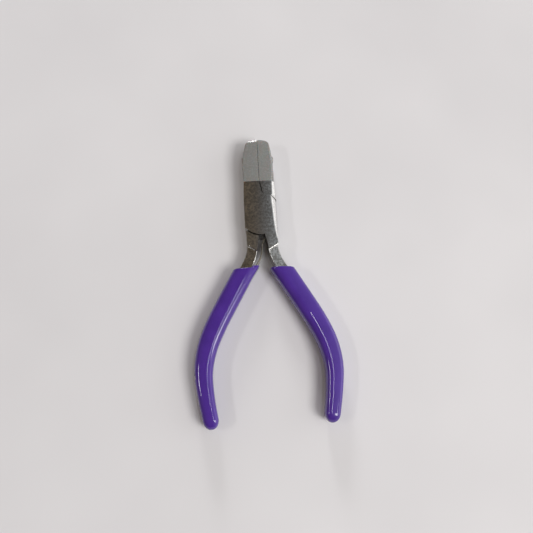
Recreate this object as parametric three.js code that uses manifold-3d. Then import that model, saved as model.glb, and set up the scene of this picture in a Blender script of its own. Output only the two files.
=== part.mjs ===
// Mini chain nose pliers with nylon jaws, lying on their back with the jaws closed.
//
// Units are millimetres. The origin is on the pivot axis, in the flat back face.
// +Y points to the jaw tips, +X to the right handle and +Z out of the front face.
// The two levers are one forging used twice: the rear one is turned over about the Y axis.
// Every piece of a lever is drawn as if it belonged to the front lever, whose jaw is on
// the left and whose handle is on the right.
import * as THREE from 'three';
import { mergeVertices } from 'three/addons/utils/BufferGeometryUtils.js';
import Module from 'manifold-3d';

const wasm = await Module();
wasm.setup();

// ---- Driving dimensions ----
const THICKNESS = 8; // the flat head, front face to back face
const MID_Z = THICKNESS / 2;
const LAP_GAP = 0.1; // between the two lap plates
const LAP_RADIUS = 8; // round shoulder of a lap plate
const LAP_CLEARANCE = 0.15; // between a plate's round edge and the other lever's shoulder
const JAW_GAP = 0.06; // from each jaw's gripping face to the centre line
const FIT = 0.1; // between pieces that slip over one another
const THREAD_FIT = 0.05; // round a screw's thread
const DIP_FIT = 0.3; // between a dipped grip and the steel inside it

const HEAD_TOP = 12.5; // the steel ends its full section here, and the nylon begins
const HEAD_HALF = 5.8; // half width of the head at the pivot
const JAW_ROOT_HALF = 5.5; // where the nylon begins
const SHANK_HALF = 5.65; // and where the shanks begin
const SHOULDER_Y = 6; // the head narrows from here, above and below the pivot
const SHANK_TOP = -11.9; // outer end of the flat face, where the round shank begins
const SHANK_CROTCH = [2.2, -14.1]; // inner end of the flat face
const CROTCH_HALF = 1.15; // half of the gap between the levers just below the lap
const SLIT = { top: 11.6, upper: 0.05, corner: 0.75, lower: -0.35, foot: -1.25, footY: 7 }; // X by layer
const EDGE_CHAMFER = { top: 1.4, bottom: 0.45, end: -9 }; // on the head's outer edges

const RIVET = { radius: 2.5, head: 3.2, headDepth: 0.8, clearance: 0.06 };

const FINGER = { inner: 1.9, outer: 5, depth: 4, tip: 26 }; // steel inside the nylon
const NYLON = {
  chamfer: 1.3, // on its outer and tip edges, front and back
  edge: [
    [-JAW_GAP, 29],
    [-2.3, 28.85],
    [-3.9, 28.1],
    [-4.8, 25.6],
    [-5.45, 22],
    [-5.65, 18],
    [-5.35, HEAD_TOP + FIT],
  ],
};
const SCREW = { y: 22.4, radius: 0.8, head: 1.3, seat: 5.05, top: 6, tip: 1.1, slot: 0.35 };

const TANG = { width: 3.9, depth: 5.6, endWidth: 3, endDepth: 4 };
const GRIP = { width: 7.7, depth: 8, endWidth: 5.5, endDepth: 6.4, top: -20.2 };
const GRIP_TAPER = { start: -36, end: -76 }; // where the grip narrows, along Y
const GRIP_CLOSE = { round: 3.3, blunt: 0.12 }; // length of the round end, and its last step
const SQUARE = { tang: 3.2, grip: 2.6, leaf: 12 }; // how square each section is: 2 is an ellipse

const LEAF = { thickness: 0.5, width: 4, gap: 0.05 };
const LEAF_POCKET = { start: 0.1, rivetFit: 0.2 }; // the room for it inside the grip
const LEAF_RIVET = { radius: 0.8, head: 1.5, headDepth: 0.35, length: 3.2, place: 0.26 };

// The centre line of a handle, from inside the head to the end of its grip.
const HANDLE = curveThrough([
  [3.6, -11],
  [4.9, -16],
  [8.9, -24],
  [13.5, -32],
  [17.9, -40],
  [21.3, -48],
  [22.8, -56],
  [22.3, -64],
  [20.4, -75.4],
]);
const TANG_END = 0.955; // how far along the handle the steel runs
const GRIP_START = 0.09; // a little above the grip's top edge

// ---- Materials ----
function finish(color, roughness, metalness) {
  return new THREE.MeshStandardMaterial({ color, roughness, metalness });
}
const steel = () => finish(0x8d8b86, 0.28, 1);
const springSteel = () => finish(0x9a968c, 0.35, 1);
const nylon = () => finish(0xb9bab6, 0.5, 0);
const pvc = () => finish(0x4b2a94, 0.3, 0);

// ---- Turning geometry into solids and back ----
function solid(geometry) {
  const bare = geometry.clone();
  bare.deleteAttribute('normal');
  bare.deleteAttribute('uv');
  const merged = mergeVertices(bare, 1e-5);
  const mesh = new wasm.Mesh({
    numProp: 3,
    vertProperties: new Float32Array(merged.attributes.position.array),
    triVerts: new Uint32Array(merged.index.array),
  });
  return new wasm.Manifold(mesh);
}

function piece(name, manifold, material) {
  const { vertProperties, triVerts } = manifold.getMesh();
  const geometry = new THREE.BufferGeometry();
  geometry.setAttribute('position', new THREE.BufferAttribute(vertProperties, 3));
  geometry.setIndex(new THREE.BufferAttribute(triVerts, 1));
  geometry.computeVertexNormals();
  const mesh = new THREE.Mesh(geometry, material);
  mesh.name = name;
  return mesh;
}

// ---- Basic shapes ----
function curveThrough(points) {
  return new THREE.CatmullRomCurve3(points.map(([x, y]) => new THREE.Vector3(x, y, 0)));
}

function prism(shape, low, high) {
  const options = { depth: high - low, bevelEnabled: false, curveSegments: 14 };
  return solid(new THREE.ExtrudeGeometry(shape, options).translate(0, 0, low));
}

function block(x0, x1, y0, y1, z0, z1) {
  const geometry = new THREE.BoxGeometry(x1 - x0, y1 - y0, z1 - z0);
  return solid(geometry.translate((x0 + x1) / 2, (y0 + y1) / 2, (z0 + z1) / 2));
}

// A turned solid: steps are [radius, distance along the axis], from one end to the other.
function turned(steps, origin, axis, sides) {
  const profile = steps.map(([radius, along]) => new THREE.Vector2(radius, along));
  const geometry = new THREE.LatheGeometry(profile, sides);
  const turn = new THREE.Quaternion();
  turn.setFromUnitVectors(new THREE.Vector3(0, 1, 0), axis.clone().normalize());
  return solid(geometry.applyQuaternion(turn).translate(origin.x, origin.y, origin.z));
}

// The solid beyond a plane, on the side that the normal points to.
function beyond(point, normal, size = 60) {
  const turn = new THREE.Quaternion();
  turn.setFromUnitVectors(new THREE.Vector3(0, 0, 1), normal.clone().normalize());
  const geometry = new THREE.BoxGeometry(size, size, size).translate(0, 0, size / 2);
  return solid(geometry.applyQuaternion(turn).translate(point.x, point.y, point.z));
}

// A point beside a curve in the XY plane, on the inner side of the right handle.
function inward(curve, t, distance) {
  const at = curve.getPointAt(t);
  const along = curve.getTangentAt(t);
  return new THREE.Vector2(at.x + along.y * distance, at.y - along.x * distance);
}

// A bar along a stretch of a curve. section(at, left) gives the width in the plane, the
// depth along Z and how square the corners are, at a point and a distance from the end.
function bar(curve, start, end, section, sides, steps, crowding = 1) {
  const geometry = new THREE.CylinderGeometry(1, 1, 1, sides, steps);
  const position = geometry.attributes.position;
  const length = curve.getLength();
  for (let i = 0; i < position.count; i += 1) {
    const share = THREE.MathUtils.clamp(position.getY(i) + 0.5, 0, 1);
    const t = end - (end - start) * share ** crowding;
    const at = curve.getPointAt(t);
    const along = curve.getTangentAt(t);
    const { width, depth, square } = section(at, (end - t) * length);
    const across = position.getX(i);
    const up = position.getZ(i);
    const power = Math.abs(across) ** square + Math.abs(up) ** square;
    const scale = power > 0 ? power ** (-1 / square) : 0;
    const sideways = (scale * across * width) / 2;
    const raised = (scale * up * depth) / 2;
    position.setXYZ(i, at.x - along.y * sideways, at.y + along.x * sideways, MID_Z + raised);
  }
  return solid(geometry);
}

// ---- Steel levers ----
function arcAngle(x) {
  return Math.acos(x / LAP_RADIUS);
}

// The flat head of the front lever: jaw root, lap plate and shank root.
function headOutline() {
  const shape = new THREE.Shape();
  shape.moveTo(-JAW_GAP, HEAD_TOP);
  shape.lineTo(SLIT.upper, SLIT.top);
  shape.lineTo(SLIT.corner, LAP_RADIUS * Math.sin(arcAngle(SLIT.corner)));
  shape.absarc(0, 0, LAP_RADIUS, arcAngle(SLIT.corner), arcAngle(HEAD_HALF), true);
  shape.lineTo(HEAD_HALF, -SHOULDER_Y);
  shape.lineTo(SHANK_HALF, SHANK_TOP);
  shape.lineTo(...SHANK_CROTCH);
  shape.lineTo(CROTCH_HALF, -LAP_RADIUS * Math.sin(arcAngle(CROTCH_HALF)));
  shape.absarc(0, 0, LAP_RADIUS, -arcAngle(CROTCH_HALF), arcAngle(HEAD_HALF) - Math.PI, true);
  shape.lineTo(-HEAD_HALF, SHOULDER_Y);
  shape.lineTo(-JAW_ROOT_HALF, HEAD_TOP);
  shape.closePath();
  return shape;
}

// The lower layer of a lever makes room for the other lever's plate and jaw root.
function lapPocket() {
  const layer = MID_Z + LAP_GAP / 2;
  const radius = LAP_RADIUS + LAP_CLEARANCE;
  const origin = new THREE.Vector3(0, 0, -1);
  const rim = [[0, 0], [radius, 0], [radius, layer + 1], [0, layer + 1]];
  const round = turned(rim, origin, new THREE.Vector3(0, 0, 1), 96);
  const root = new THREE.Shape();
  root.moveTo(-JAW_GAP, HEAD_TOP + 1);
  root.lineTo(-JAW_GAP, HEAD_TOP);
  root.lineTo(SLIT.lower, SLIT.top);
  root.lineTo(SLIT.foot, SLIT.footY);
  root.lineTo(HEAD_HALF, SLIT.footY);
  root.lineTo(HEAD_HALF, HEAD_TOP + 1);
  root.closePath();
  return round.add(prism(root, -1, layer));
}

// Both faces are chamfered along an outer edge that runs from one corner to another. The
// edge belongs to a convex outline around the Y axis.
function chamferEdge(blank, from, to, depthFrom, depthTo) {
  const edge = to.clone().sub(from);
  const out = new THREE.Vector2(edge.y, -edge.x).normalize();
  if (out.dot(from) < 0) out.negate();
  let cut = blank;
  for (const face of [1, -1]) {
    const top = MID_Z + face * MID_Z;
    const rim = (corner, depth) => corner.clone().addScaledVector(out, -depth);
    const a = rim(from, depthFrom);
    const c = rim(to, depthTo);
    const low = new THREE.Vector3(from.x, from.y, top - face * depthFrom);
    const high = new THREE.Vector3(a.x, a.y, top);
    const far = new THREE.Vector3(c.x, c.y, top);
    const normal = low.sub(high).cross(far.sub(high));
    if (normal.z * face < 0) normal.negate();
    cut = cut.subtract(beyond(high, normal));
  }
  return cut;
}

function rivetProfile(extra) {
  const { radius, head, headDepth } = RIVET;
  const past = extra > 0 ? 1 : 0;
  const flare = (past * (head - radius)) / headDepth;
  return [
    [0, -past],
    [head + extra + flare, -past],
    [radius + extra, headDepth],
    [radius + extra, THICKNESS - headDepth],
    [head + extra + flare, THICKNESS + past],
    [0, THICKNESS + past],
  ];
}

function rivetSolid(extra) {
  const up = new THREE.Vector3(0, 0, 1);
  return turned(rivetProfile(extra), new THREE.Vector3(0, 0, 0), up, 64);
}

function taper(at, from, to) {
  return THREE.MathUtils.smoothstep(-at.y, -from, -to);
}

function tangBar(extra) {
  const section = (at) => {
    const t = taper(at, GRIP_TAPER.start, GRIP_TAPER.end);
    return {
      width: THREE.MathUtils.lerp(TANG.width, TANG.endWidth, t) + 2 * extra,
      depth: THREE.MathUtils.lerp(TANG.depth, TANG.endDepth, t) + 2 * extra,
      square: SQUARE.tang,
    };
  };
  const end = TANG_END + extra / HANDLE.getLength();
  return bar(HANDLE, 0, end, section, 16, 20);
}

function fingerSolid() {
  const { inner, outer, depth, tip } = FINGER;
  const z = depth / 2;
  return block(-outer, -inner, HEAD_TOP - 1, tip, MID_Z - z, MID_Z + z);
}

// A hole for the jaw screw, from beside the jaw to a distance from the centre line.
function screwHole(radius, tip) {
  const outside = 10;
  const depth = outside - tip;
  const steps = [[0, 0], [radius, 0], [radius, depth], [0, depth]];
  const origin = new THREE.Vector3(-outside, SCREW.y, MID_Z);
  return turned(steps, origin, new THREE.Vector3(1, 0, 0), 24);
}

function leverSolid() {
  const { top, bottom, end } = EDGE_CHAMFER;
  let head = prism(headOutline(), 0, THICKNESS);
  for (const side of [-1, 1]) {
    const from = new THREE.Vector2(side * JAW_ROOT_HALF, HEAD_TOP);
    const to = new THREE.Vector2(side * HEAD_HALF, end);
    head = chamferEdge(head, from, to, top, bottom);
  }
  head = head.subtract(lapPocket());
  return head.add(fingerSolid()).add(tangBar(0)).subtract(rivetSolid(RIVET.clearance))
    .subtract(screwHole(SCREW.radius + FIT, 0));
}

// ---- Nylon jaws and their screws ----
function nylonJaw() {
  const { chamfer } = NYLON;
  const edge = NYLON.edge.map(([x, y]) => new THREE.Vector2(x, y));
  const shape = new THREE.Shape([new THREE.Vector2(-JAW_GAP, HEAD_TOP + FIT), ...edge]);
  let blank = prism(shape, 0, THICKNESS);
  for (let i = 0; i + 1 < edge.length; i += 1) {
    blank = chamferEdge(blank, edge[i], edge[i + 1], chamfer, chamfer);
  }
  const { inner, depth, tip: fingerTip } = FINGER;
  const z = depth / 2 + FIT;
  const slot = block(-8, -inner + FIT, HEAD_TOP - 2, fingerTip + FIT, MID_Z - z, MID_Z + z);
  return blank.subtract(slot).subtract(screwHole(SCREW.radius + THREAD_FIT, SCREW.tip - FIT));
}

function jawScrew() {
  const { y, radius, head, seat, top, tip, slot } = SCREW;
  const steps = [
    [0, -top],
    [head * 0.55, -top + 0.06],
    [head * 0.9, -top + 0.3],
    [head, -top + 0.6],
    [head, -seat],
    [radius, -seat],
    [radius, -tip - 0.4],
    [radius * 0.5, -tip],
    [0, -tip],
  ];
  const body = turned(steps, new THREE.Vector3(0, y, MID_Z), new THREE.Vector3(1, 0, 0), 24);
  const drive = block(-top - 1, -top + 0.45, y - 2, y + 2, MID_Z - slot / 2, MID_Z + slot / 2);
  return body.subtract(drive);
}

// ---- Leaf spring, on the inner side of the rear lever's handle ----
function leafOffset() {
  return TANG.width / 2 + LEAF.gap + LEAF.thickness / 2;
}

function leafCurve() {
  const free = [
    [-0.75, -9.3],
    [0, -11],
    [0.25, -13],
    [0.9, -16],
    [2.9, -19.4],
  ];
  const held = [0.17, 0.22, LEAF_RIVET.place, 0.3].map((t) => {
    const at = inward(HANDLE, t, leafOffset());
    return [at.x, at.y];
  });
  return curveThrough([...free, ...held]);
}

function leafBar(extra, start) {
  const width = LEAF.thickness + 2 * extra;
  const depth = LEAF.width + 2 * extra;
  return bar(leafCurve(), start, 1, () => ({ width, depth, square: SQUARE.leaf }), 8, 24);
}

function leafRivetSolid(extra) {
  const { radius, head, headDepth, length, place } = LEAF_RIVET;
  const reach = leafOffset() + LEAF.thickness / 2 + 0.02 + headDepth;
  const at = inward(HANDLE, place, reach);
  const normal = HANDLE.getTangentAt(place);
  const into = new THREE.Vector3(-normal.y, normal.x, 0);
  const origin = new THREE.Vector3(at.x, at.y, MID_Z);
  const steps = [
    [0, -extra],
    [head + extra, -extra],
    [head + extra, headDepth],
    [radius + extra, headDepth],
    [radius + extra, headDepth + length + extra],
    [0, headDepth + length + extra],
  ];
  return turned(steps, origin, into, 20);
}

// ---- Dipped grips ----
function gripBar() {
  const section = (at, left) => {
    const t = taper(at, GRIP_TAPER.start, GRIP_TAPER.end);
    const width = THREE.MathUtils.lerp(GRIP.width, GRIP.endWidth, t);
    const depth = THREE.MathUtils.lerp(GRIP.depth, GRIP.endDepth, t);
    const { round, blunt } = GRIP_CLOSE;
    const close = left < round ? Math.sqrt(1 - (1 - left / round) ** 2) : 1;
    const size = Math.max(close, blunt);
    return { width: width * size, depth: depth * size, square: SQUARE.grip };
  };
  return bar(HANDLE, GRIP_START, 1, section, 20, 24, 1.5);
}

function gripSolid() {
  const top = new THREE.Vector3(0, GRIP.top, 0);
  const above = beyond(top, new THREE.Vector3(0, 1, 0), 100);
  return gripBar().subtract(above).subtract(tangBar(DIP_FIT));
}

// ---- Assembly ----
const leafHole = leafRivetSolid(FIT);
const leafPocket = leafBar(DIP_FIT, LEAF_POCKET.start).add(leafRivetSolid(LEAF_POCKET.rivetFit));

const frontLever = new THREE.Group();
frontLever.add(
  piece('front_lever', leverSolid(), steel()),
  piece('nylon_jaw_left', nylonJaw(), nylon()),
  piece('jaw_screw_left', jawScrew(), steel()),
  piece('grip_right', gripSolid(), pvc()),
);

const rearLever = new THREE.Group();
rearLever.add(
  piece('rear_lever', leverSolid().subtract(leafHole), steel()),
  piece('nylon_jaw_right', nylonJaw(), nylon()),
  piece('jaw_screw_right', jawScrew(), steel()),
  piece('grip_left', gripSolid().subtract(leafPocket), pvc()),
  piece('leaf_spring', leafBar(0, 0).subtract(leafHole), springSteel()),
  piece('spring_rivet', leafRivetSolid(0), springSteel()),
);
rearLever.rotation.y = Math.PI;
rearLever.position.z = THICKNESS;

const pliers = new THREE.Group();
pliers.add(frontLever, rearLever, piece('pivot_rivet', rivetSolid(0), steel()));

export default pliers;
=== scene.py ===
"""Looks of the mini nylon jaw pliers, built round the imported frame.

Shapes are worked out in millimetres and become Blender meshes in metres. Both levers are
one forging, so the pieces of a lever are made once, as the front lever's, whose jaw is on
the left. Turned over about the Y axis, they are the rear lever's.
"""
import math

import bpy
import numpy as np
from mathutils import Matrix, Vector


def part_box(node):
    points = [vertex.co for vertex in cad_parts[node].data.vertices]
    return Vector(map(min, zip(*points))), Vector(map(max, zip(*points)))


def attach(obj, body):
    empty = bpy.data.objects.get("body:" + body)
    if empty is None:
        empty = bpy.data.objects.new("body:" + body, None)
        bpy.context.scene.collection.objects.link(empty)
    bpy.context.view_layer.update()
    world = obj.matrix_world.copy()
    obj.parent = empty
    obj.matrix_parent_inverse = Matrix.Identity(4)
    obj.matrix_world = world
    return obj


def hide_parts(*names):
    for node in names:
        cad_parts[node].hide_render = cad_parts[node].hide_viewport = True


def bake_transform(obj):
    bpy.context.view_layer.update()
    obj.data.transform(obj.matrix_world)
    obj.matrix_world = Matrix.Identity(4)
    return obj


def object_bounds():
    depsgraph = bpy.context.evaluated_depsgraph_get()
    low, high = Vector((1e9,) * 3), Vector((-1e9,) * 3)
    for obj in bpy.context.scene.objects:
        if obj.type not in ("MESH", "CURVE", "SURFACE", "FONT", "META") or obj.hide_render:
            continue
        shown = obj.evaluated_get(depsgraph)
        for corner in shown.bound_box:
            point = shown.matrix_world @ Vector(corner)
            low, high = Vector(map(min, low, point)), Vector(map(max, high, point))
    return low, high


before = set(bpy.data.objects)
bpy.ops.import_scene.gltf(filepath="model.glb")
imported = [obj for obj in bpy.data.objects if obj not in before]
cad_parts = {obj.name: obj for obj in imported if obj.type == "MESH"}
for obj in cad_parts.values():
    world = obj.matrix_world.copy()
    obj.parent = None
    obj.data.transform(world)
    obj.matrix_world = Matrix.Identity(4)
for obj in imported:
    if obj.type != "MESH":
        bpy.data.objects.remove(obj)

MM = 0.001
FRONT, REAR = "front_half", "rear_half"
CAD_LOW, CAD_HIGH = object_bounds()

# ---- Sizes in millimetres, taken from the frame where it has them ----
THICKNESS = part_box("pivot_rivet")[1].z / MM
MID = THICKNESS / 2
NYLON_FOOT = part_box("nylon_jaw_left")[0].y / MM
LAP_RADIUS = 8  # round shoulder of a lap plate
LAP_GAP = 0.1  # between the two lap plates
LAP_Z = MID + LAP_GAP / 2
JAW_GAP = 0.06  # from a gripping face to the centre line
SEAM = 0.06  # between the head and the nylon
HEAD_TOP = NYLON_FOOT - SEAM
HEAD_HALF = 5.8  # half width of the head at the pivot
RIVET_RADIUS = 2.5
RIVET_END_RADIUS = 3.2
SCREW_Y = (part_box("jaw_screw_left")[0].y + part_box("jaw_screw_left")[1].y) / 2 / MM

# The centre line of a handle, from inside the head to the end of its grip
HANDLE_POINTS = [
    (3.5, -11),
    (4.55, -16),
    (8.9, -24),
    (13.5, -32),
    (17.9, -40),
    (21.3, -48),
    (22.8, -56),
    (22.3, -64),
    (20.4, -75.4),
]
TAPER = (-36, -76)  # where tangs and grips get thinner, along Y
TANG_SETBACK = 3.2  # from the end of the grip to the end of the steel
TANG_FIT = 0.03  # between a tang and its grip
GRIP_TOP = -20.2
LEAF_HALF = 0.25  # half of its thickness
LEAF_SIDE = 2  # half of its width
CROWN = 0.32  # how much lower a ground face is at the head's sides
NYLON_CROWN = 0.4

COARSE = 1
LEVER_STEP = 0.16 * COARSE
GRIP_STEP = 0.24 * COARSE
FINE_STEP = 0.12
RIVET_STEP = 0.1
SCREW_STEP = 0.07
HOLD = 0.02  # how strongly a vertex is held at the middle of its cell's cut edges
SHARP = math.radians(50)  # faces that meet at more than this have a sharp edge


# ---- Smooth solids: a field is negative inside a solid and grows like a distance ----
def both(a, b, edge=0.0):
    """What two fields share, with the meeting edge rounded."""
    past = np.hypot(np.maximum(a + edge, 0), np.maximum(b + edge, 0))
    return np.minimum(np.maximum(a, b), -edge) + past


def either(a, b, fillet=0.0):
    """Two fields joined, with a fillet where they meet."""
    return -both(-a, -b, fillet)


def without(a, b, edge=0.0):
    """The first field with the second cut out of it."""
    return both(a, -b, edge)


def slopes(field, points):
    """A field's values and slopes at points."""
    reach = 1e-3
    here = field(*points.T)
    slope = np.empty_like(points)
    for axis in range(3):
        moved = points.copy()
        moved[:, axis] += reach
        slope[:, axis] = (field(*moved.T) - here) / reach
    return here, slope


def surface(field, low, high, step):
    """Vertices and quads of a field's surface inside a box.

    Each grid cell that the surface crosses gets one vertex. It lies where the tangent planes
    at the cell's cut edges meet, so sharp edges stay sharp.
    """
    axes = [np.arange(a - 2 * step, b + 3 * step, step) for a, b in zip(low, high)]
    grid = np.meshgrid(*axes, indexing="ij", sparse=True)
    values = np.broadcast_to(field(*grid), [len(a) for a in axes])
    inside = values < 0
    origin = np.array([a[0] for a in axes])
    unit = np.eye(3, dtype=int)
    cuts, rings = [], []
    for axis in range(3):
        lower = tuple(slice(None, -1) if k == axis else slice(None) for k in range(3))
        upper = tuple(slice(1, None) if k == axis else slice(None) for k in range(3))
        edges = np.argwhere(inside[lower] != inside[upper])
        near = values[tuple(edges.T)]
        far = values[tuple((edges + unit[axis]).T)]
        start = origin + edges * step
        cut = start + (near / (near - far))[:, None] * unit[axis] * step
        here, slope = slopes(field, cut)
        pace = np.where(np.abs(slope[:, axis]) > 0.2, slope[:, axis], np.inf)
        cut[:, axis] = np.clip(cut[:, axis] - here / pace, start[:, axis], start[:, axis] + step)
        cuts.append(cut)
        second, third = unit[(axis + 1) % 3], unit[(axis + 2) % 3]
        ring = np.stack([edges - second - third, edges - third, edges, edges - second], axis=1)
        rings.append(np.where((near < 0)[:, None, None], ring, ring[:, ::-1]))
    cuts = np.concatenate(cuts)
    numbers = np.ravel_multi_index(np.concatenate(rings).transpose(2, 0, 1), inside.shape)
    cells, quads = np.unique(numbers, return_inverse=True)
    quads = quads.reshape(numbers.shape)

    hits = np.bincount(quads.ravel(), minlength=len(cells))

    def mean(amounts):
        return np.bincount(quads.ravel(), np.repeat(amounts, 4), len(cells)) / hits

    here, slope = slopes(field, cuts)
    size = np.linalg.norm(slope, axis=1) + 1e-9
    normal = slope / size[:, None]
    level = (normal * cuts).sum(axis=1) - here / size
    middle = np.stack([mean(cuts[:, i]) for i in range(3)], axis=1)
    planes = np.stack([[mean(normal[:, i] * normal[:, j]) for i in range(3)] for j in range(3)])
    planes = planes.transpose(2, 0, 1) + HOLD * np.eye(3)
    pull = np.stack([mean(normal[:, i] * level) for i in range(3)], axis=1) + HOLD * middle
    points = np.linalg.solve(planes, pull[:, :, None])[:, :, 0]
    return np.clip(points, middle - step, middle + step), quads


def turned_over(points):
    """A front lever's points as the rear lever's."""
    return points * (-1, 1, -1) + (0, 0, THICKNESS)


def piece(name, points, quads, material, body, slot, *nodes):
    """A smooth mesh in metres that rides on a body and stands for CAD nodes."""
    mesh = bpy.data.meshes.new(name)
    mesh.from_pydata(points * MM, [], quads)
    mesh.polygons.foreach_set("use_smooth", [True] * len(mesh.polygons))
    mesh.set_sharp_from_angle(angle=SHARP)
    mesh.materials.append(material)
    made = bpy.data.objects.new(name, mesh)
    bpy.context.scene.collection.objects.link(made)
    if body:
        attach(made, body)
    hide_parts(*nodes)
    return made


# ---- Curves ----
def curve_through(points, steps=10):
    """A smooth line through points in the XY plane, with even pace near each point."""
    knots = np.array(points, float)
    knots = np.vstack([2 * knots[0] - knots[1], knots, 2 * knots[-1] - knots[-2]])
    line = []
    for p0, p1, p2, p3 in zip(knots, knots[1:], knots[2:], knots[3:]):
        d0, d1, d2 = (np.sqrt(np.hypot(*(b - a))) for a, b in ((p0, p1), (p1, p2), (p2, p3)))
        m1 = ((p1 - p0) / d0 - (p2 - p0) / (d0 + d1) + (p2 - p1) / d1) * d1
        m2 = ((p2 - p1) / d1 - (p3 - p1) / (d1 + d2) + (p3 - p2) / d2) * d1
        for u in np.arange(steps) / steps:
            a = 2 * p1 - 2 * p2 + m1 + m2
            b = -3 * p1 + 3 * p2 - 2 * m1 - m2
            line.append(((a * u + b) * u + m1) * u + p1)
    line.append(knots[-2])
    return np.array(line)


def beside(line, x, y):
    """Distance to the left of a line and distance from its end, for points in the plane."""
    best = np.full(np.broadcast(x, y).shape, 1e9)
    aside = np.zeros_like(best)
    left = np.zeros_like(best)
    steps = np.diff(line, axis=0)
    sizes = np.hypot(*steps.T)
    remaining = sizes.sum() - np.concatenate([[0], np.cumsum(sizes)])
    last = len(steps) - 1
    for i, ((px, py), (dx, dy), size) in enumerate(zip(line, steps, sizes)):
        rx, ry = x - px, y - py
        along = (rx * dx + ry * dy) / size
        held = np.clip(along, 0, 1e9 if i == last else size)
        across = (dx * ry - dy * rx) / size
        gap = np.hypot(across, along - held)
        nearer = gap < best
        best = np.where(nearer, gap, best)
        aside = np.where(nearer, np.sign(across) * gap, aside)
        left = np.where(nearer, remaining[i] - held, left)
    return aside, left


HANDLE = curve_through(HANDLE_POINTS)


def offset_points(line, shares, distance):
    """Points beside a line, at shares of its length, to the right of its direction."""
    steps = np.diff(line, axis=0)
    sizes = np.hypot(*steps.T)
    length = np.concatenate([[0], np.cumsum(sizes)])
    made = []
    for share in shares:
        i = min(np.searchsorted(length, share * length[-1], side="right") - 1, len(steps) - 1)
        along = steps[i] / sizes[i]
        at = line[i] + along * (share * length[-1] - length[i])
        made.append((at[0] + along[1] * distance, at[1] - along[0] * distance))
    return made


LEAF_PLACE = 0.26  # of the leaf's rivet, as a share of the handle's length
LEAF_OFFSET = 2.25  # from the handle's centre line to the leaf's, where the leaf is held
LEAF_FREE = [(-0.75, -9.3), (0, -11), (0.25, -13), (0.9, -16), (2.9, -19.4)]
LEAF_HELD = offset_points(HANDLE, (0.17, 0.22, LEAF_PLACE, 0.3), LEAF_OFFSET)
LEAF_LINE = curve_through(LEAF_FREE + LEAF_HELD)
LEAF_RIVET_LEFT = (1 - LEAF_PLACE) * np.hypot(*np.diff(HANDLE, axis=0).T).sum()


def narrowing(y):
    share = np.clip((y - TAPER[0]) / (TAPER[1] - TAPER[0]), 0, 1)
    return share * share * (3 - 2 * share)


def oval(across, up, half_width, half_depth, square):
    """A bar's field from its section: square 2 is an ellipse, and more has squarer corners."""
    a = np.abs(across) / half_width
    b = np.abs(up) / half_depth
    size = (a**square + b**square + 1e-12) ** (1 / square)
    return (size - 1) * np.minimum(half_width, half_depth)


# ---- Levers ----
def head_half(y):
    return np.interp(y, [-11.9, -6, 6, 12.5], [5.65, 5.8, 5.8, 5.5])


def bevel_depth(y):
    """The plate's long bevel, widest at its shoulder, and the jaw root's narrower one."""
    plate = np.interp(y, [-10.6, -9, -5.7, -2.4, 3.15, 6.7], [-0.3, 0.35, 0.86, 1.1, 1.4, 1.6])
    return np.where(y > 7.2, np.interp(y, [7, 12.5], [1.3, 1.0]), plate)


def tang(x, y, z, extra=0.0):
    aside, left = beside(HANDLE, x, y)
    share = narrowing(y)
    width = 1.95 - 0.45 * share + extra
    depth = 2.8 - 0.8 * share + extra
    root = np.clip((y + 19.5) / 6.5, 0, 1)
    depth = depth + 0.6 * root * root * (3 - 2 * root)
    bare = np.clip((y + 23) / 2.5, 0, 1)
    slant = 0.25 * bare * np.maximum(aside + width, 0)
    bar = oval(aside, np.abs(z - MID) + slant, width, depth, 3.2 + 10.8 * bare)
    return both(bar, TANG_SETBACK - extra - left, 0.5)


def rivet(x, y, z, extra=0.0):
    radius = np.hypot(x, y)
    shank = radius - RIVET_RADIUS - extra
    flare = (radius - 3.5 - extra + (MID - np.abs(z - MID)) * 0.875) * 0.75
    return np.maximum(np.minimum(shank, flare), radius - RIVET_END_RADIUS - extra)


def faces(x, z):
    """The two ground faces, with the slight crown that grinding and tumbling leave."""
    return np.abs(z - MID) - MID + CROWN * (x / HEAD_HALF) ** 2


def head(x, y, z):
    face = faces(x, z)
    side = np.abs(x) - head_half(y) - np.where(x < 0, 0.25, 0)
    disc = np.hypot(x, y) - LAP_RADIUS
    slit = (x - np.interp(y, [7.96, 11.6, 12.5], [0.75, 0.05, -JAW_GAP])) * 0.98
    jaw_root = np.maximum(np.maximum(slit, 3 - y), y - HEAD_TOP)
    crotch = (np.interp(y, [-14.1, -7.92], [2.2, 1.15]) - x) * 0.985
    end = 0.538 * x - 0.843 * y - 13.07
    shank_root = np.maximum(np.maximum(crotch, y + 3), end)
    flat = either(either(disc, jaw_root), shank_root)
    block = both(both(flat, side), face)
    depth = bevel_depth(y)
    wide = (0.84 * side + face + 0.9 * depth) * 0.766
    gentle = (0.5 * side + face + 0.5) * 0.894
    polished = x * (z - MID) > 0
    block = both(block, np.where(polished, wide, gentle), np.where(polished, 0.2, 0.03))
    block = both(block, (end + face + 0.22) * 0.707)
    lower_slit = np.interp(y, [7, 11.6, 12.5], [-1.25, -0.35, -JAW_GAP]) - x
    clearance = np.where(y > 0, 0.08, 0.5)
    pocket = np.minimum(disc - clearance, np.maximum(lower_slit, 7 - y))
    return without(block, np.maximum(pocket, z - LAP_Z))


def lever(x, y, z):
    finger = np.maximum(np.abs(x + 3.45) - 1.55, np.abs(z - MID) - 2)
    finger = both(finger, np.abs(y - 18) - 8, 0.3)
    blank = either(either(head(x, y, z), finger, 0.1), tang(x, y, z), 0.12)
    hole = np.maximum(np.hypot(y - SCREW_Y, z - MID) - 0.9, x)
    return without(without(blank, rivet(x, y, z, 0.01)), hole)


def pivot_rivet(x, y, z):
    return both(rivet(x, y, z), faces(x, z))


# ---- Dipped grips ----
def grip(x, y, z):
    return without(dip(x, y, z), tang(x, y, z, TANG_FIT), 0.2)


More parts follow.
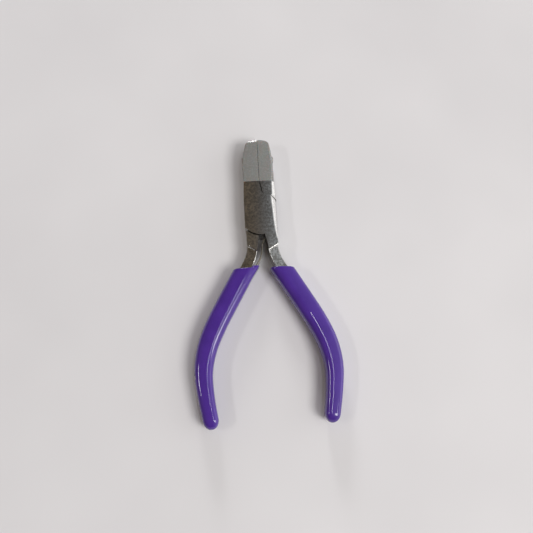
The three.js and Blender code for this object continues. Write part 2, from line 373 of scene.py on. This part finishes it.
def dip(x, y, z):
    aside, left = beside(HANDLE, x, y)
    share = narrowing(y)
    width = 3.85 - 1.1 * share
    depth = 3.92 - 0.8 * share
    inset = np.clip(1 - left / 3.3, 0, 1)
    close = np.sqrt(np.maximum(1 - inset**2, 0.01))
    polish_and_reflection_mask = np.maximum(np.abs(z - MID) + 0.07 * aside, 0)
    bar = oval(aside, polish_and_reflection_mask, width * close, depth * close, 3.0)
    bar = both(bar, -left, 0.3)
    return both(bar, y - GRIP_TOP, 0.3)


def leaf_grip(x, y, z):
    """The rear lever's grip, whose dip rises where it took in the foot of the leaf."""
    aside, left = beside(LEAF_LINE, x, y)
    lip = both(both(np.abs(aside) - 1.1, np.abs(z - MID) - 3.2, 0.8), y + 19.1, 0.5)
    lip = np.maximum(lip, -y - 26)
    room = np.maximum(np.abs(aside) - 0.42, np.abs(z - MID) - 2.2)
    dipped = either(dip(x, y, z), lip, 0.6)
    return without(without(dipped, tang(x, y, z, TANG_FIT), 0.2), room, 0.1)


# ---- Nylon jaws and their screws ----
def outline_distance(outline, x, y):
    """Distance to a closed outline in the plane, negative inside."""
    best = np.full(np.broadcast(x, y).shape, 1e9)
    within = np.zeros(best.shape, bool)
    for (ax, ay), (bx, by) in zip(outline, np.roll(outline, -1, axis=0)):
        dx, dy = bx - ax, by - ay
        share = np.clip(((x - ax) * dx + (y - ay) * dy) / (dx * dx + dy * dy), 0, 1)
        best = np.minimum(best, np.hypot(x - ax - share * dx, y - ay - share * dy))
        if ay != by:
            within ^= ((ay <= y) != (by <= y)) & (x < ax + (y - ay) * dx / dy)
    return np.where(within, -best, best)


NYLON_POINTS = [
    (1, 29.4),
    (-JAW_GAP, 29.4),
    (-2.3, 29.2),
    (-3.95, 28.35),
    (-5.0, 25.6),
    (-5.7, 22),
    (-5.95, 18),
    (-5.8, 12.6),
]
NYLON_EDGE = curve_through(NYLON_POINTS, 6)
NYLON_OUTLINE = np.vstack([NYLON_EDGE, (-4.9, 6), (6, 6), (6, 29)])


def nylon_jaw(x, y, z):
    edge = outline_distance(NYLON_OUTLINE, x, y)
    face = np.abs(z - MID) - MID + NYLON_CROWN * (x / HEAD_HALF) ** 2
    block = both(edge, face, 0.35)
    slant = np.interp(y, [12, 24, 28], [1.55, 1.0, 0])
    block = both(block, edge * 0.93 - (z - slant * 2.3) * 0.36, 0.3)
    tip = (y - 0.16 * x - 29) * 0.415 + (np.abs(z - MID) - MID + 0.42) * 0.91
    block = both(block, tip, 0.3)
    block = both(block, x + JAW_GAP)
    block = both(block, NYLON_FOOT - y, 0.2)
    slot = np.maximum(np.maximum(x + 1.8, np.abs(z - MID) - 2.1), y - 26.1)
    hole = np.hypot(y - SCREW_Y, z - MID) - 0.86
    seat = np.maximum(hole - 0.52, x + 5.02)
    return without(without(block, slot, 0.15), np.minimum(np.maximum(hole, x + 1.0), seat))


def jaw_screw(x, y, z):
    """A slotted pan head at the jaw's outer side, and its shank."""
    radius = np.hypot(y - SCREW_Y, z - MID)
    out = -x
    dome = both(radius - 1.3, out - 5.95 + 0.1 * radius**2, 0.2)
    button = both(dome, 5.05 - out, 0.06)
    shank = both(radius - 0.8, 1.1 - out, 0.2)
    screw = np.minimum(button, np.maximum(shank, out - 5.2))
    slot = np.maximum(np.abs(z - MID) - 0.17, 5.6 - out)
    return without(screw, slot, 0.04)


# ---- Leaf spring ----
def leaf(x, y, z):
    aside, left = beside(LEAF_LINE, x, y)
    strip = both(np.abs(aside) - LEAF_HALF, np.abs(z - MID) - LEAF_SIDE, 0.1)
    return both(strip, 0.1 - left, 0.1)


def leaf_rivet(x, y, z):
    """It runs through the leaf, which has no hole for it here: both are inside the grip."""
    aside, left = beside(HANDLE, x, y)
    along = left - LEAF_RIVET_LEFT
    radius = np.hypot(along, z - MID)
    depth = -aside
    flange = both(radius - 1.5, np.abs(depth - 2.72) - 0.17, 0.08)
    shank = both(radius - 0.78, np.abs(depth - 1.0) - 1.7, 0.1)
    return np.minimum(flange, shank)


# ---- Materials ----
class Surface:
    """A node material. Sizes of noise are in millimetres, in the piece's own coordinates."""

    def __init__(self, name, **settings):
        self.material = bpy.data.materials.new(name)
        self.material.use_nodes = True
        self.nodes = self.material.node_tree.nodes
        self.links = self.material.node_tree.links
        self.shader = self.nodes["Principled BSDF"]
        self.place = self.nodes.new("ShaderNodeTexCoord").outputs["Object"]
        for key, value in settings.items():
            self.shader.inputs[key.replace("_", " ")].default_value = value

    def join(self, source, target):
        self.links.new(source, self.shader.inputs[target])

    def noise(self, size, detail=2.0, stretch=(1, 1, 1)):
        mapping = self.nodes.new("ShaderNodeMapping")
        mapping.inputs["Scale"].default_value = stretch
        made = self.nodes.new("ShaderNodeTexNoise")
        made.inputs["Scale"].default_value = 1 / (size * MM)
        made.inputs["Detail"].default_value = detail
        self.links.new(self.place, mapping.inputs["Vector"])
        self.links.new(mapping.outputs["Vector"], made.inputs["Vector"])
        return made.outputs["Fac"]

    def parts(self, source):
        """The X, Y and Z of a point or a direction in the piece's own axes."""
        split = self.nodes.new("ShaderNodeSeparateXYZ")
        self.links.new(source, split.inputs[0])
        return split.outputs

    def facing(self):
        """The direction that the surface faces, in the piece's own axes."""
        return self.parts(self.nodes.new("ShaderNodeTexCoord").outputs["Normal"])

    def combine(self, kind, *sources):
        """The product or another simple result of the sources."""
        made = self.nodes.new("ShaderNodeMath")
        made.operation = kind
        for source, target in zip(sources, made.inputs):
            self.links.new(source, target)
        return made.outputs[0]

    def spread(self, source, low, high, start=0.3, end=0.7):
        made = self.nodes.new("ShaderNodeMapRange")
        ranges = (("From Min", start), ("From Max", end), ("To Min", low), ("To Max", high))
        for key, value in ranges:
            made.inputs[key].default_value = value
        self.links.new(source, made.inputs["Value"])
        return made.outputs["Result"]

    def blend(self, share, first, second):
        made = self.nodes.new("ShaderNodeMix")
        made.data_type = "RGBA"
        for key, value in ((0, share), (6, first), (7, second)):
            if isinstance(value, tuple):
                made.inputs[key].default_value = (*value, 1)
            else:
                self.links.new(value, made.inputs[key])
        return made.outputs[2]

    def bump(self, height, depth, strength=1.0, after=None):
        made = self.nodes.new("ShaderNodeBump")
        made.inputs["Distance"].default_value = depth * MM
        made.inputs["Strength"].default_value = strength
        self.links.new(height, made.inputs["Height"])
        if after:
            self.links.new(after, made.inputs["Normal"])
        return made.outputs["Normal"]


def steel(name, dark, light, rough=0.2, polish_and_reflection=0.0):
    """Ground steel, which can have polished bevels on its head, painted brighter than steel: partly
    a polished finish, partly a painted reflection.
    """
    made = Surface(name, Metallic=1.0)
    speckle = made.noise(0.8, 3)
    cloud = made.noise(3.0, 3)
    tone = made.blend(made.spread(speckle, 0, 1, 0.4, 0.6), dark, light)
    tone = made.blend(made.spread(cloud, 0, 0.35), tone, tuple(c * 0.8 for c in dark))
    facing = made.facing()
    # Head bevels whose normal leans the same way in X and Z get a near-white base: a polished
    # finish plus a painted reflection, on that side only
    polish_and_reflection_mask = made.spread(made.combine("MULTIPLY", facing["X"], facing["Z"]), 0, polish_and_reflection, 0.16, 0.24)
    on_head = made.spread(made.parts(made.place)["Y"], 0, 1, -13 * MM, -12 * MM)
    tone = made.blend(made.combine("MULTIPLY", polish_and_reflection_mask, on_head), tone, (0.76, 0.75, 0.74))
    made.join(tone, "Base Color")
    made.join(made.spread(speckle, rough + 0.08, rough - 0.04), "Roughness")
    grain = made.bump(made.noise(0.16, 2), 0.006, 0.5)
    scratches = made.noise(0.1, 2, (1, 0.06, 1))
    made.join(made.bump(scratches, 0.004, 0.35, grain), "Normal")
    return made.material


def nylon_material():
    made = Surface("nylon", Subsurface_Weight=0.35, Subsurface_Scale=0.002)
    cloud = made.noise(2.5, 3)
    tone = made.blend(made.spread(cloud, 0, 0.3), (0.228, 0.231, 0.226), (0.185, 0.187, 0.183))
    made.join(tone, "Base Color")
    made.join(made.spread(made.noise(0.5, 3), 0.2, 0.32), "Roughness")
    moulded = made.bump(made.noise(0.3, 3), 0.008, 0.25)
    wear = made.noise(0.12, 2, (1, 0.08, 1))
    made.join(made.bump(wear, 0.006, 0.15, moulded), "Normal")
    return made.material


def pvc_material():
    made = Surface("pvc", Coat_Weight=1.0, Coat_Roughness=0.04, Specular_IOR_Level=0.1)
    cloud = made.noise(5.0, 3)
    tone = made.blend(made.spread(cloud, 0, 1), (0.053, 0.016, 0.225), (0.066, 0.021, 0.265))
    dust = made.spread(made.noise(0.22, 2), 0, 0.25, 0.62, 0.75)
    made.join(made.blend(dust, tone, (0.15, 0.09, 0.42)), "Base Color")
    made.join(made.spread(made.noise(1.2, 3), 0.4, 0.5), "Roughness")
    dip = made.bump(made.noise(4.0, 1, (1, 0.4, 1)), 0.05, 0.35)
    made.join(made.bump(made.noise(0.35, 2), 0.004, 0.5, dip), "Normal")
    return made.material


# ---- Assembly ----
def lever_pieces(name, shape, low, high, step, material, slot, front, rear):
    """The same piece on both levers."""
    points, quads = surface(shape, low, high, step)
    piece(name + "_a", points, quads, material, FRONT, slot, front)
    piece(name + "_b", turned_over(points), quads, material, REAR, slot, rear)


def object_pieces():
    head_steel = steel("head_steel", (0.25, 0.245, 0.23), (0.6, 0.6, 0.59), polish_and_reflection=0.8)
    small_steel = steel("screw_steel", (0.17, 0.165, 0.14), (0.3, 0.29, 0.26), 0.3)
    strip = steel("spring_strip", (0.2, 0.185, 0.15), (0.32, 0.3, 0.25), 0.3)
    nylon = nylon_material()
    pvc = pvc_material()
    lever_pieces(
        "lever", lever, (-6, -76, 0), (25, 26, THICKNESS), LEVER_STEP,
        head_steel, "steel", "front_lever", "rear_lever",
    )
    lever_pieces(
        "nylon_jaw", nylon_jaw, (-6, 12, 0), (0, 29.2, THICKNESS), FINE_STEP,
        nylon, "nylon", "nylon_jaw_left", "nylon_jaw_right",
    )
    lever_pieces(
        "jaw_screw", jaw_screw, (-6.1, 21, 2.6), (-1, 23.8, 5.4), SCREW_STEP,
        small_steel, "screw_steel", "jaw_screw_left", "jaw_screw_right",
    )
    grip_box = ((2, -76, 0), (27, -20, THICKNESS))
    points, quads = surface(grip, *grip_box, GRIP_STEP)
    piece("grip_a", points, quads, pvc, FRONT, "pvc", "grip_right")
    points, quads = surface(leaf_grip, *grip_box, GRIP_STEP)
    piece("grip_b", turned_over(points), quads, pvc, REAR, "pvc", "grip_left")
    points, quads = surface(pivot_rivet, (-3.3, -3.3, 0), (3.3, 3.3, THICKNESS), FINE_STEP)
    piece("pivot_rivet_round", points, quads, head_steel, REAR, "steel", "pivot_rivet")
    points, quads = surface(leaf, (-2, -33, 1.9), (16, -8, 6.1), FINE_STEP)
    spring = piece("leaf", turned_over(points), quads, strip, None, "spring_steel", "leaf_spring")
    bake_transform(spring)
    points, quads = surface(leaf_rivet, (4, -31, 2), (13, -22, 6), RIVET_STEP)
    piece("leaf_rivet", turned_over(points), quads, strip, REAR, "spring_steel", "spring_rivet")


# ---- Stage, light and camera ----
def floor():
    bpy.ops.mesh.primitive_plane_add(size=3, location=(0, 0, CAD_LOW.z - 0.0001))
    plane = bpy.context.object
    plane.name = "floor"
    made = Surface("floor", Roughness=0.75)
    tone = made.blend(made.spread(made.noise(60.0, 2), 0, 1), (0.66, 0.65, 0.67), (0.7, 0.69, 0.71))
    made.join(tone, "Base Color")
    plane.data.materials.append(made.material)


def lamp(name, spot, aim, length, width, power, color=(1, 1, 1)):
    """A soft box whose length lies along Y as nearly as its aim allows."""
    data = bpy.data.lights.new(name, "AREA")
    data.shape = "RECTANGLE"
    data.size = length
    data.size_y = width
    data.energy = power
    data.color = color
    back = (Vector(spot) - Vector(aim)).normalized()
    along = (Vector((0, 1, 0)) - back * back.y).normalized()
    made = bpy.data.objects.new(name, data)
    made.matrix_world = Matrix((along, back.cross(along), back)).transposed().to_4x4()
    made.location = spot
    bpy.context.scene.collection.objects.link(made)


def light():
    lamp("tube", (0.13, -0.09, 0.80), (0, -0.03, 0), 0.34, 0.022, 0.5)
    lamp("key", (0.50, -0.38, 0.80), (0, -0.02, 0), 0.4, 0.4, 6, (1.0, 0.98, 0.95))
    lamp("back", (-0.075, 0.70, 0.19), (0, 0.02, 0), 0.12, 0.12, 2.2)
    lamp("left", (-0.56, -0.06, 0.56), (0.004, -0.016, 0), 0.16, 0.05, 0.7)
    world = bpy.data.worlds.new("studio")
    world.use_nodes = True
    nodes = world.node_tree.nodes
    join = world.node_tree.links.new
    split = nodes.new("ShaderNodeSeparateXYZ")
    join(nodes.new("ShaderNodeTexCoord").outputs["Generated"], split.inputs[0])
    across = nodes.new("ShaderNodeMapRange")
    across.inputs["From Min"].default_value = -1
    join(split.outputs["X"], across.inputs["Value"])
    room = nodes.new("ShaderNodeValToRGB")
    stops = room.color_ramp.elements
    stops[0].position, stops[0].color = 0.48, (0.16, 0.124, 0.088, 1)
    stops[1].position, stops[1].color = 0.96, (1.9, 1.9, 1.9, 1)
    stops.new(0.535).color = (0.088, 0.08, 0.08, 1)
    stops.new(0.66).color = (0.38, 0.40, 0.42, 1)
    stops.new(0.90).color = (0.6, 0.6, 0.6, 1)
    join(across.outputs["Result"], room.inputs[0])
    join(room.outputs["Color"], nodes["Background"].inputs["Color"])
    bpy.context.scene.world = world
    bpy.context.scene.view_settings.view_transform = "Standard"


def camera():
    spot = Vector((-0.01172, -0.06819, 0.20805))
    aim = Vector((0.00110, -0.01921, 0.004))
    roll = math.radians(3.27)
    ahead = (aim - spot).normalized()
    right = ahead.cross(Vector((math.sin(roll), math.cos(roll), 0))).normalized()
    up = right.cross(ahead)
    made = bpy.data.objects.new("camera", bpy.data.cameras.new("camera"))
    made.matrix_world = Matrix((right, up, -ahead)).transposed().to_4x4()
    made.location = spot
    made.data.lens = 38.97
    made.data.sensor_width = 36
    made.data.clip_start = 0.01
    bpy.context.scene.collection.objects.link(made)
    bpy.context.scene.camera = made


object_pieces()
floor()
light()
camera()
